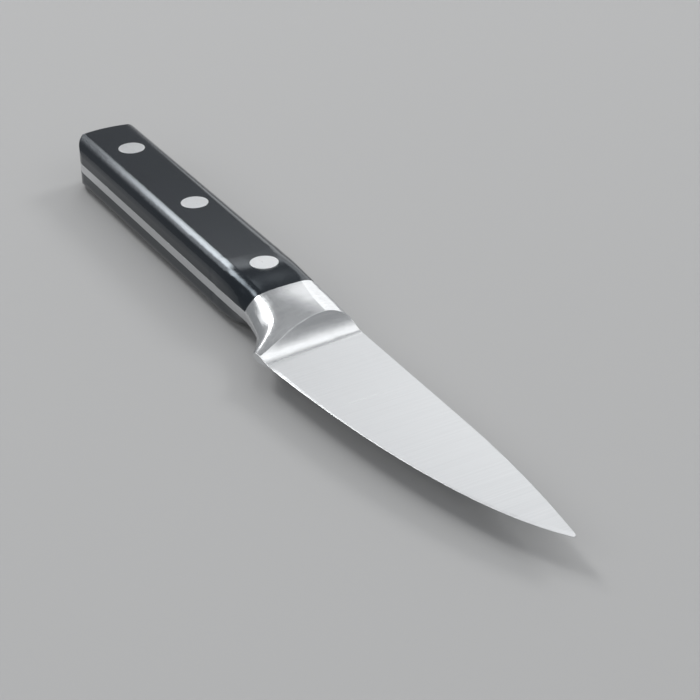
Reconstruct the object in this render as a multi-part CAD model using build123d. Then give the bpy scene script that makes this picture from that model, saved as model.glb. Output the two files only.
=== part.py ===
from build123d import *
import math
import os

# Paring knife lying on its left side, in millimetres.
# It is drawn with X from the butt of the handle to the tip, Y towards the spine and Z = 0 on the
# middle plane of the blade, then moved so that its origin is on the table under its middle.

# Lengths along the knife
handle_length = 94.8
guard_length = 15.9
heel_to_tip = 91.4

# Handle section at the grip
handle_thickness = 12.8
spine_y = 7.6
belly_y = -9.5
grip_spine_round_width = 3.7
grip_spine_round_height = 3.7
grip_belly_round_width = 3.3
grip_belly_round_height = 3.2
ridge_drop = 0.5
taper_length = 17.2

# Butt of the handle: its curve and corners seen from above, and its edges seen from the side
butt_radius = 25
butt_belly_radius = 7
butt_spine_radius = 2.6
butt_edge_radius = 1.3

# Bolster where it meets the scales
bolster_thickness = 9.8
bolster_spine_round_width = 3.6
bolster_spine_round_height = 2.0
crown_end_y = -2.2
bevel_width = 2.6
bevel_top_height = 4.1
bevel_low_height = 1.3

# Blade
spine_thickness = 2.0
edge_thickness = 0.38
tip_thickness = 0.6
heel_y = -15.3
tip_y = 4.45
tip_radius = 0.4
spine_straight_length = 47
edge_heel_slope = 0.046
edge_heel_reach = 32
edge_tip_slope = 0.75
edge_tip_reach = 17

# Hollow that runs from the bolster down to the flat of the blade
hollow_length = 12.5
hollow_rise = 5.6
hollow_offset = 4.6
hollow_yaw = 6.8

# Ground cutting edge
edge_bevel_angle = 14
edge_land = 0.04
edge_bevel_reach = 2.2
edge_bevel_start = 9.3
edge_bevel_entry_radius = 5
edge_bevel_entry_angle = 60

# Tang and rivets
tang_thickness = 2.2
rivet_names = ("rear", "middle", "front")
butt_to_rear_rivet = 15.3
front_rivet_to_bolster = 9.3
rivet_y = 0
rivet_head_diameter = 6.2
rivet_head_depth = 2.4
sleeve_diameter = 4.8
sleeve_length = 6.6
pin_diameter = 3.2
pin_length = 5.8
rivet_clearance = 0.03
tang_hole_clearance = 0.1

# One overrun serves every cut
overrun = 5

# Places that follow from the sizes above
heel_x = handle_length + guard_length
tip_x = heel_x + heel_to_tip
taper_start_x = handle_length - taper_length
blade_root_x = heel_x + hollow_offset
half_handle = handle_thickness / 2
half_tang = tang_thickness / 2
rivet_seat = half_handle - rivet_head_depth
rivet_run = handle_length - butt_to_rear_rivet - front_rivet_to_bolster
rivet_spacing = rivet_run / (len(rivet_names) - 1)

# Shares of the taper from the grip to the bolster: where each section stands, and how far its spine
# side, its ridge and its belly side have changed there, since the belly side falls away first
taper_place_shares = (0, 0.17, 0.35, 0.54, 0.75)
taper_spine_shares = (0, 0, 0.01, 0.11, 0.48)
taper_ridge_shares = (0, 0.005, 0.06, 0.24, 0.59)
taper_belly_shares = (0, 0.02, 0.14, 0.38, 0.69)

# Sections of the bolster, as shares of its sizes where it meets the scales
station_shares = (0, 0.22, 0.42, 0.62, 0.78, 0.92, 1.06, 1.25, 1.5)
drop_shares = (0, 0.085, 0.19, 0.35, 0.59, 0.87, 1.2, 1.65, 2.2)
crown_height_shares = (1, 0.94, 0.89, 0.84, 0.79, 0.74, 0.66, 0.54, 0.42)
spine_width_shares = (1, 1.1, 1.2, 1.25, 1.25, 1.2, 1.1, 1, 0.9)
spine_height_shares = (1, 0.95, 0.9, 0.9, 0.9, 0.85, 0.8, 0.7, 0.6)
crown_end_shares = (0, 0.06, 0.12, 0.18, 0.2, 0.22, 0.24, 0.26, 0.28)
bevel_width_shares = (1, 1.25, 1.36, 1.3, 1.04, 0.74, 0.55, 0.45, 0.4)
bevel_top_shares = (1, 0.94, 0.855, 0.725, 0.57, 0.4, 0.25, 0.14, 0.09)
bevel_low_shares = (1, 0.85, 0.7, 0.55, 0.42, 0.28, 0.2, 0.13, 0.1)
bevel_bend_shares = (0.75, 0.82, 0.87, 0.9, 0.9, 0.9, 0.88, 0.86, 0.85)

# Curve of the hollow at the spine and at the heel: run and rise of its three later control points
hollow_spine_run_shares = (0.15, 0.42, 0.98)
hollow_spine_rise_shares = (0, 0.25, 1.04)
hollow_heel_run_shares = (0.28, 0.66, 1.06)
hollow_heel_rise_shares = (0, 0.22, 0.88)

# How far the curves of a section reach towards the corners they round off
round_share = 0.55
bend_start_share = 0.56
bend_stop_share = 0.6
grip_crown_share = 0.25
half_share = 0.5


# A section has three sizes on its spine side, four at its ridge and three on its belly side.
spine_size_count = 3
ridge_size_count = 4
belly_size_count = 3


def section(x, sizes):
    """Closed outline across the knife at x, the same above and below the middle plane."""
    height, round_width, round_height = sizes[:spine_size_count]
    crown_y, corner_y, corner_height, drop = sizes[spine_size_count:-belly_size_count]
    side_y, side_height, bend = sizes[-belly_size_count:]

    def curves(side):
        def at(y, z):
            return Vector(x, y, side * z)

        spine_low = at(spine_y, height - round_height)
        spine_corner = at(spine_y, height)
        crown_start = at(spine_y - round_width, height)
        crown_stop = at(crown_y, height)
        corner = at(corner_y, corner_height)
        side_corner = at(side_y, side_height)
        side_stop = at(side_y, side_height * half_share)
        bend_start = crown_stop + (corner - crown_stop) * bend_start_share
        bend_stop = corner + (side_corner - corner) * bend_stop_share
        rounding = Bezier(
            spine_low,
            spine_low + (spine_corner - spine_low) * round_share,
            crown_start + (spine_corner - crown_start) * round_share,
            crown_start,
        )
        if corner_height == height:
            crown = Line(crown_start, bend_start)
        else:
            crown = Bezier(crown_start, crown_stop, bend_start)
        flank = Bezier(
            bend_start,
            bend_start + (corner - bend_start) * bend - Vector(0, 0, side * drop),
            bend_stop + (corner - bend_stop) * bend,
            bend_stop,
        )
        turn = Bezier(bend_stop, side_corner, side_stop)
        return [rounding, crown, flank, turn]

    upper = curves(1)
    lower = curves(-1)
    spine_wall = Line(lower[0] @ 0, upper[0] @ 0)
    belly_wall = Line(upper[-1] @ 1, lower[-1] @ 1)
    return Wire([spine_wall] + upper + [belly_wall] + list(reversed(lower)))


def grip_sizes():
    """Sizes of the handle's section at the grip."""
    crown_y = belly_y + grip_belly_round_width + (spine_y - belly_y) * grip_crown_share
    return [
        half_handle,
        grip_spine_round_width,
        grip_spine_round_height,
        crown_y,
        belly_y,
        half_handle,
        ridge_drop,
        belly_y,
        half_handle - grip_belly_round_height / bend_stop_share,
        round_share,
    ]


def bolster_sizes(index):
    """Sizes of the section at one station of the bolster, from the scales to past the heel."""
    side_y = belly_y + (heel_y - belly_y) * drop_shares[index]
    return [
        bolster_thickness / 2 * crown_height_shares[index],
        bolster_spine_round_width * spine_width_shares[index],
        bolster_spine_round_height * spine_height_shares[index],
        crown_end_y + (spine_y - crown_end_y) * crown_end_shares[index],
        side_y + bevel_width * bevel_width_shares[index],
        bevel_top_height * bevel_top_shares[index],
        0,
        side_y,
        bevel_low_height * bevel_low_shares[index],
        bevel_bend_shares[index],
    ]


def between(low, high):
    """Block that holds everything between two heights."""
    return Pos(0, 0, (low + high) / 2) * Box(2 * tip_x, heel_to_tip, high - low)


def behind(x):
    """Block that holds everything on the handle's side of x."""
    length = x + overrun
    size = heel_to_tip
    return Pos(x - length / 2, 0, 0) * Box(length, size, size)


def upright(diameter, low, high):
    """Upright cylinder between two heights."""
    return Pos(0, 0, (low + high) / 2) * Cylinder(diameter / 2, high - low)


def mirrored(shape):
    """The same shape on the other side of the middle plane."""
    return mirror(shape, about=Plane.XY)


def make_grip():
    """Straight stretch of the handle, with its curved butt and the rounded edges and corners there."""
    body = extrude(make_face(section(0, grip_sizes())), amount=taper_start_x, dir=(1, 0, 0))
    middle_y = (spine_y + belly_y) / 2
    height = spine_y - belly_y
    length = taper_start_x - butt_radius
    front = Pos(butt_radius + length / 2, middle_y)
    disc_place = Pos(butt_radius, middle_y)
    band = Pos(taper_start_x / 2, middle_y) * Rectangle(taper_start_x, height)
    plan = (disc_place * Circle(butt_radius) & band) + front * Rectangle(length, height)
    belly_corner = plan.vertices().group_by(Axis.Y)[0].sort_by(Axis.X)[0]
    plan = fillet(belly_corner, butt_belly_radius)
    spine_corner = plan.vertices().group_by(Axis.Y)[-1].sort_by(Axis.X)[0]
    plan = fillet(spine_corner, butt_spine_radius)
    plan_body = extrude(plan, amount=half_handle + overrun, both=True)
    disc = Cylinder(butt_radius, handle_thickness)
    disc = fillet(disc.edges().filter_by(GeomType.CIRCLE), butt_edge_radius)
    disc_body = disc_place * disc + front * Box(length, 2 * height, handle_thickness)
    return body & plan_body & disc_body


def make_neck():
    """One smooth body from the end of the grip to past the heel."""
    outlines = []
    changes_at = zip(taper_spine_shares, taper_ridge_shares, taper_belly_shares)
    for place, (spine_change, ridge_change, belly_change) in zip(taper_place_shares, changes_at):
        changes = [spine_change] * spine_size_count
        changes += [ridge_change] * ridge_size_count + [belly_change] * belly_size_count
        sizes = [a + (b - a) * change for a, b, change in zip(grip_sizes(), bolster_sizes(0), changes)]
        outlines.append(section(taper_start_x + taper_length * place, sizes))
    for index, share in enumerate(station_shares):
        outlines.append(section(handle_length + guard_length * share, bolster_sizes(index)))
    return Solid.make_loft(outlines) & between(-half_handle, half_handle)


def edge_curve():
    """Cutting edge seen from above, from the heel to the tip."""
    heel = Vector(heel_x, heel_y)
    tip = Vector(tip_x, tip_y)
    heel_control = heel + Vector(1, edge_heel_slope) * edge_heel_reach
    tip_control = tip - Vector(1, edge_tip_slope) * edge_tip_reach
    return Bezier(heel, heel_control, tip_control, tip)


def blade_outline():
    """Bolster and blade seen from above, with the line of the edge carried on behind the heel."""
    edge = edge_curve()
    back_x = handle_length - overrun
    spine_bend = Vector(heel_x + spine_straight_length, spine_y)
    back_top = Vector(back_x, spine_y)
    back_low = Vector(back_x, heel_y - (heel_x - back_x) * edge_heel_slope)
    spine_line = Line(back_top, spine_bend)
    spine_fall = TangentArc(spine_bend, edge @ 1, tangent=(1, 0))
    heel_line = Line(back_low, edge @ 0)
    back_line = Line(back_top, back_low)
    outline = make_face([spine_line, spine_fall, edge, heel_line, back_line])
    return fillet(outline.vertices().sort_by(Axis.X)[-1], tip_radius)


def hollow_outline(plane, run_shares, rise_shares):
    """Closed outline of the hollow cutter on one plane across the wheel's path."""
    top = hollow_rise + overrun
    far = heel_to_tip + overrun
    points = [(0, 0)]
    for run, rise in zip(run_shares, rise_shares):
        points.append((-hollow_length * run, hollow_rise * rise))
    low_end = points[-1]
    hollow = Bezier(*points)
    rest = Polyline(low_end, (low_end[0], top), (far, top), (far, 0), (0, 0))
    return plane * Wire([hollow] + list(rest.edges()))


def hollow_cutter():
    """All that the grinding wheel takes off the right side: above the flat and the hollow."""
    root = Vector(blade_root_x, spine_y, spine_thickness / 2)
    edge_point = Vector(blade_root_x, heel_y, edge_thickness / 2)
    tip_point = Vector(tip_x, tip_y, tip_thickness / 2)
    normal = (edge_point - root).cross(tip_point - root).normalized()
    forward = normal.cross(Vector(0, -1, 0).rotate(Axis.Z, hollow_yaw)).normalized()
    across = Plane(origin=root, x_dir=forward, z_dir=forward.cross(normal))
    spine_plane = across.offset(-overrun)
    heel_plane = across.offset(spine_y - heel_y + overrun)
    at_spine = hollow_outline(spine_plane, hollow_spine_run_shares, hollow_spine_rise_shares)
    at_heel = hollow_outline(heel_plane, hollow_heel_run_shares, hollow_heel_rise_shares)
    return Solid.make_loft([at_spine, at_heel], ruled=True)


def edge_cutter():
    """All that the belt takes off the right side along the cutting edge, with its round entry."""
    edge = edge_curve().trim(edge_bevel_start / heel_to_tip, 1)
    entry = JernArc(edge @ 0, -(edge % 0), edge_bevel_entry_radius, edge_bevel_entry_angle)
    leave = Line(edge @ 1, edge @ 1 + (edge % 1) * overrun)
    start = entry @ 1
    path = Wire([Edge.make_three_point_arc(start, entry @ half_share, edge @ 0), edge, leave])
    slope = math.tan(math.radians(edge_bevel_angle))
    belt = Plane(origin=start, x_dir=Vector(0, 0, 1).cross(path % 0), z_dir=path % 0)
    reach = edge_bevel_reach
    low = edge_land / 2 - reach * slope
    high = edge_land / 2 + reach * slope
    corners = [(-reach, low), (reach, high), (reach, overrun), (-reach, overrun)]
    profile = belt * make_face(Polyline(*corners, close=True))
    return sweep(profile, path=path)


def handle_body():
    """Outer shape of handle and bolster in one, before it is parted into scales and steel."""
    return make_grip() + make_neck()


def scale_room():
    """Space of the right scale: behind the bolster and above the tang."""
    return behind(handle_length) & between(half_tang, half_handle + overrun)


def rivet_places():
    """Place of each rivet in the order of their names, evenly spaced along the handle."""
    places = []
    for index in range(len(rivet_names)):
        places.append(Pos(butt_to_rear_rivet + index * rivet_spacing, rivet_y, 0))
    return places


def make_blade(body):
    """Tang, bolster and blade, which are one forging."""
    outline = blade_outline()
    outline_room = extrude(outline, amount=half_handle + overrun, both=True)
    steel = body - scale_room() - mirrored(scale_room())
    tang = steel & behind(handle_length)
    bolster = (steel - behind(handle_length)) & outline_room
    flat = extrude(outline, amount=spine_thickness, both=True) - behind(blade_root_x)
    steel = tang + bolster + flat
    for cutter in (hollow_cutter(), edge_cutter()):
        steel = steel - cutter - mirrored(cutter)
    hole = upright(sleeve_diameter + 2 * tang_hole_clearance, -half_handle, half_handle)
    for place in rivet_places():
        steel -= place * hole
    return steel


def make_scale(body):
    """Right scale, with a stepped hole for each rivet."""
    scale = body & scale_room()
    hole = upright(sleeve_diameter + 2 * rivet_clearance, 0, half_handle)
    seat = upright(rivet_head_diameter + 2 * rivet_clearance, rivet_seat, half_handle + overrun)
    for place in rivet_places():
        scale -= place * (hole + seat)
    return scale


def make_pin():
    """Solid half of a rivet, with its flat head level with the grip's right face."""
    head = upright(rivet_head_diameter, rivet_seat, half_handle)
    return head + upright(pin_diameter, rivet_seat - pin_length, rivet_seat)


def make_sleeve():
    """Hollow half of a rivet, with its head on the left face, that the pin is driven into."""
    head = upright(rivet_head_diameter, -half_handle, -rivet_seat)
    tube = upright(sleeve_diameter, -rivet_seat, sleeve_length - rivet_seat)
    bore = upright(pin_diameter + 2 * rivet_clearance, -rivet_seat, sleeve_length - rivet_seat)
    return head + (tube - bore)


def main():
    body = handle_body()
    right_scale = make_scale(body)
    pieces = {
        "blade": make_blade(body),
        "right_scale": right_scale,
        "left_scale": mirrored(right_scale),
    }
    for name, place in zip(rivet_names, rivet_places()):
        pieces[name + "_rivet_pin"] = place * make_pin()
        pieces[name + "_rivet_sleeve"] = place * make_sleeve()
    middle = pieces["blade"].bounding_box().center()
    origin = Pos(-middle.X, -middle.Y, half_handle)
    os.makedirs("parts", exist_ok=True)
    for name, piece in pieces.items():
        export_step(origin * piece, "parts/" + name + ".step")


if __name__ == "__main__":
    main()
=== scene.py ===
import math

import bpy
from mathutils import Matrix

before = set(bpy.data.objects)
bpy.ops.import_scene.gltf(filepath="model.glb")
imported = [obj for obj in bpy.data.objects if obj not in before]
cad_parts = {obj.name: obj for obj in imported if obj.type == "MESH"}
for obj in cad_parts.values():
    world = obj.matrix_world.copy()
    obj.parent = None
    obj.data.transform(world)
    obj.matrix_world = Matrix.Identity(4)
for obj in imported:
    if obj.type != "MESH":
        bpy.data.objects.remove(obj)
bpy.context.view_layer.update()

# Everything is in metres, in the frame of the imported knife.
MM = 0.001

# Camera at the photo's viewing angle: its lens and sensor are in millimetres
CAMERA_PLACE = (0.41485, -0.1979, 0.2494)
CAMERA_HEADING = math.radians(62.73)
CAMERA_PITCH = math.radians(61.42)
CAMERA_ROLL = math.radians(-1.82)
CAMERA_LENS = 127.75
CAMERA_SENSOR = 36

# Lamps: name, bearing, elevation, width and height as seen from the knife in degrees, and level
PANELS = [
    ("key", 102, 40, 16, 16, 6),
    ("side", 131, 55, 24, 14, 1),
    ("back", 146, 33, 24, 9, 1.22),
    ("tip_glint", 157, 61, 12, 11, 1.2),
    ("horizon", 140, 17, 20, 20, 0.88),
    ("window_low", 183, 36.5, 8, 9, 10),
    ("window_edge", 194, 35, 14, 12, 1.8),
    ("window_mid", 197, 46, 12, 10, 8),
    ("window_high", 203, 56.5, 12, 11, 6),
    ("front_fill", 330, 32, 60, 26, 0.8),
    ("tip_fill", 30, 40, 40, 26, 0.7),
    ("butt_fill", 265, 40, 40, 26, 0.7),
    ("top_fill", 0, 84, 26, 26, 0.8),
]
PANEL_DISTANCE = 1.3
# Watts for each square metre of a lamp that make it as bright as a world of strength 1
WATTS_PER_LEVEL = 4
WORLD_LEVEL = 0.3
WORLD_COLOUR = (0.94, 0.97, 1, 1)

FLOOR_HALF = 1.5
FLOOR_COLOUR = (0.45, 0.45, 0.45, 1)
FLOOR_ROUGHNESS = 0.8

# Noises: how many cells to the metre along each axis, and the detail
BLADE_LINES = ((2400, 40, 40), 4)
RIVET_LINES = ((400, 6000, 400), 3)
FINE_GRAIN = ((2600, 2600, 2600), 3)
PLASTIC_PATCHES = ((90, 90, 90), 2)

# Plunge line where the ground blade begins: its place along X on the axis, its slope against Y,
# and the width over which the finish changes there
PLUNGE_PLACE = 15.2 * MM
PLUNGE_SLOPE = -0.05
PLUNGE_WIDTH = 1.5 * MM

# Colours and roughness, each from the low to the high end of its noise
BLADE_COLOURS = ((0.64, 0.65, 0.66), (0.71, 0.72, 0.73))
RIVET_COLOURS = ((0.8, 0.81, 0.82), (0.86, 0.87, 0.88))
PLASTIC_COLOURS = ((0.007, 0.009, 0.012), (0.009, 0.011, 0.015))
PLASTIC_TINT = (0.76, 0.89, 1, 1)
GROUND_ROUGHNESS = (0.28, 0.36)
SATIN_ROUGHNESS = (0.19, 0.25)
PLASTIC_ROUGHNESS = (0.14, 0.18)
NOISE_MIDDLE = (0.3, 0.7)
COLOUR_STOPS = (0.2, 0.8)

# Relief of the noises, and the rounding that the edges seem to have
RELIEF_DEPTH = 0.01 * MM
BLADE_RELIEF = 0.2
RIVET_RELIEF = 0.3
PLASTIC_RELIEF = 0.05
STEEL_ROUNDING = 0.12 * MM
PLASTIC_ROUNDING = 0.2 * MM
ROUNDING_SAMPLES = 6


def new_material(name):
    """Node material with its nodes, its links and its shader."""
    material = bpy.data.materials.new(name)
    material.use_nodes = True
    nodes = material.node_tree.nodes
    return material, nodes, material.node_tree.links, nodes["Principled BSDF"]


def set_values(node, **values):
    """Set a node's named inputs to constants."""
    for name, value in values.items():
        node.inputs[name.replace("_", " ")].default_value = value


def noise_in(nodes, links, stretch, detail):
    """Noise in the knife's own metres."""
    place = nodes.new("ShaderNodeTexCoord")
    mapping = nodes.new("ShaderNodeMapping")
    noise = nodes.new("ShaderNodeTexNoise")
    set_values(mapping, Scale=stretch)
    set_values(noise, Scale=1, Detail=detail)
    links.new(place.outputs["Object"], mapping.inputs["Vector"])
    links.new(mapping.outputs["Vector"], noise.inputs["Vector"])
    return noise.outputs["Fac"]


def spread(nodes, links, value, low, high):
    """The noise's middle range remapped to low and high, and the rest beyond them."""
    remap = nodes.new("ShaderNodeMapRange")
    remap.clamp = False
    set_values(remap, From_Min=NOISE_MIDDLE[0], From_Max=NOISE_MIDDLE[1], To_Min=low, To_Max=high)
    links.new(value, remap.inputs["Value"])
    return remap.outputs["Result"]


def tinted(nodes, links, value, dark, light):
    """Colour that runs from dark to light with the noise."""
    ramp = nodes.new("ShaderNodeValToRGB")
    for stop, position, colour in zip(ramp.color_ramp.elements, COLOUR_STOPS, (dark, light)):
        stop.position = position
        stop.color = colour + (1,)
    links.new(value, ramp.inputs["Fac"])
    return ramp.outputs["Color"]


def relief(nodes, links, shader, height, strength, rounding):
    """Raise the surface by the height, over edges that are rounded by the radius."""
    soft_edges = nodes.new("ShaderNodeBevel")
    soft_edges.samples = ROUNDING_SAMPLES
    set_values(soft_edges, Radius=rounding)
    bump = nodes.new("ShaderNodeBump")
    set_values(bump, Strength=strength, Distance=RELIEF_DEPTH)
    links.new(height, bump.inputs["Height"])
    links.new(soft_edges.outputs["Normal"], bump.inputs["Normal"])
    links.new(bump.outputs["Normal"], shader.inputs["Normal"])


def beyond_plunge(nodes, links):
    """Zero behind the plunge line and one in front of it, with a soft change."""
    place = nodes.new("ShaderNodeTexCoord")
    across = nodes.new("ShaderNodeVectorMath")
    across.operation = "DOT_PRODUCT"
    across.inputs[1].default_value = (1, -PLUNGE_SLOPE, 0)
    remap = nodes.new("ShaderNodeMapRange")
    half = PLUNGE_WIDTH / 2
    set_values(remap, From_Min=PLUNGE_PLACE - half, From_Max=PLUNGE_PLACE + half)
    links.new(place.outputs["Object"], across.inputs[0])
    links.new(across.outputs["Value"], remap.inputs["Value"])
    return remap.outputs["Result"]


def mixed(nodes, links, share, first, second):
    """The first value where the share is zero and the second where it is one."""
    mix = nodes.new("ShaderNodeMix")
    links.new(share, mix.inputs["Factor"])
    links.new(first, mix.inputs["A"])
    links.new(second, mix.inputs["B"])
    return mix.outputs["Result"]


def blade_material():
    """Satin bolster and tang behind the plunge line, and a blade with fine ground lines in front."""
    material, nodes, links, shader = new_material("blade_steel")
    set_values(shader, Metallic=1)
    lines = noise_in(nodes, links, *BLADE_LINES)
    grain = noise_in(nodes, links, *FINE_GRAIN)
    zone = beyond_plunge(nodes, links)
    satin = spread(nodes, links, grain, *SATIN_ROUGHNESS)
    ground = spread(nodes, links, lines, *GROUND_ROUGHNESS)
    links.new(tinted(nodes, links, lines, *BLADE_COLOURS), shader.inputs["Base Color"])
    links.new(mixed(nodes, links, zone, satin, ground), shader.inputs["Roughness"])
    height = mixed(nodes, links, zone, grain, lines)
    relief(nodes, links, shader, height, BLADE_RELIEF, STEEL_ROUNDING)
    return material


def rivet_material():
    """Flat ground heads with fine lines along the handle."""
    material, nodes, links, shader = new_material("rivet_steel")
    set_values(shader, Metallic=1)
    lines = noise_in(nodes, links, *RIVET_LINES)
    links.new(tinted(nodes, links, lines, *RIVET_COLOURS), shader.inputs["Base Color"])
    links.new(spread(nodes, links, lines, *GROUND_ROUGHNESS), shader.inputs["Roughness"])
    relief(nodes, links, shader, lines, RIVET_RELIEF, STEEL_ROUNDING)
    return material


def plastic_material():
    """Hard black moulded plastic with a fine matt grain."""
    material, nodes, links, shader = new_material("black_plastic")
    set_values(shader, Specular_Tint=PLASTIC_TINT)
    grain = noise_in(nodes, links, *FINE_GRAIN)
    patches = noise_in(nodes, links, *PLASTIC_PATCHES)
    links.new(tinted(nodes, links, patches, *PLASTIC_COLOURS), shader.inputs["Base Color"])
    links.new(spread(nodes, links, grain, *PLASTIC_ROUGHNESS), shader.inputs["Roughness"])
    relief(nodes, links, shader, grain, PLASTIC_RELIEF, PLASTIC_ROUNDING)
    return material


def floor_material():
    material, _, _, shader = new_material("floor")
    set_values(shader, Base_Color=FLOOR_COLOUR, Roughness=FLOOR_ROUGHNESS)
    return material


def dress():
    """Give every node of the knife its material."""
    blade = blade_material()
    rivet = rivet_material()
    plastic = plastic_material()
    for name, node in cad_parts.items():
        material = blade
        if "scale" in name:
            material = plastic
        if "rivet" in name:
            material = rivet
        for slot in node.material_slots:
            slot.material = material


def make_floor():
    half = FLOOR_HALF
    mesh = bpy.data.meshes.new("floor")
    corners = [(-half, -half, 0), (half, -half, 0), (half, half, 0), (-half, half, 0)]
    mesh.from_pydata(corners, [], [(0, 1, 2, 3)])
    floor = bpy.data.objects.new("floor", mesh)
    bpy.context.collection.objects.link(floor)
    floor.data.materials.append(floor_material())


def panel_side(angle):
    """Side of a lamp that spans the angle in degrees as seen from the knife."""
    return 2 * PANEL_DISTANCE * math.tan(math.radians(angle / 2))


def add_panel(name, bearing, elevation, wide, high, level):
    """Soft rectangular lamp that faces the knife."""
    lamp = bpy.data.lights.new(name, "AREA")
    lamp.shape = "RECTANGLE"
    lamp.size = panel_side(wide)
    lamp.size_y = panel_side(high)
    lamp.energy = WATTS_PER_LEVEL * level * lamp.size * lamp.size_y
    turn = Matrix.Rotation(math.radians(bearing + 90), 4, "Z")
    tilt = Matrix.Rotation(math.radians(90 - elevation), 4, "X")
    holder = bpy.data.objects.new(name, lamp)
    bpy.context.collection.objects.link(holder)
    holder.matrix_world = turn @ tilt @ Matrix.Translation((0, 0, PANEL_DISTANCE))


def make_world():
    world = bpy.data.worlds.new("studio")
    bpy.context.scene.world = world
    world.use_nodes = True
    background = world.node_tree.nodes["Background"]
    set_values(background, Color=WORLD_COLOUR, Strength=WORLD_LEVEL)


def make_camera():
    data = bpy.data.cameras.new("camera")
    data.lens = CAMERA_LENS
    data.sensor_width = CAMERA_SENSOR
    camera = bpy.data.objects.new("camera", data)
    bpy.context.collection.objects.link(camera)
    turn = Matrix.Rotation(CAMERA_HEADING, 4, "Z")
    pitch = Matrix.Rotation(CAMERA_PITCH, 4, "X")
    roll = Matrix.Rotation(CAMERA_ROLL, 4, "Z")
    camera.matrix_world = Matrix.Translation(CAMERA_PLACE) @ turn @ pitch @ roll
    bpy.context.scene.camera = camera


dress()
make_floor()
make_world()
for panel in PANELS:
    add_panel(*panel)
make_camera()
bpy.context.scene.view_settings.view_transform = "Standard"
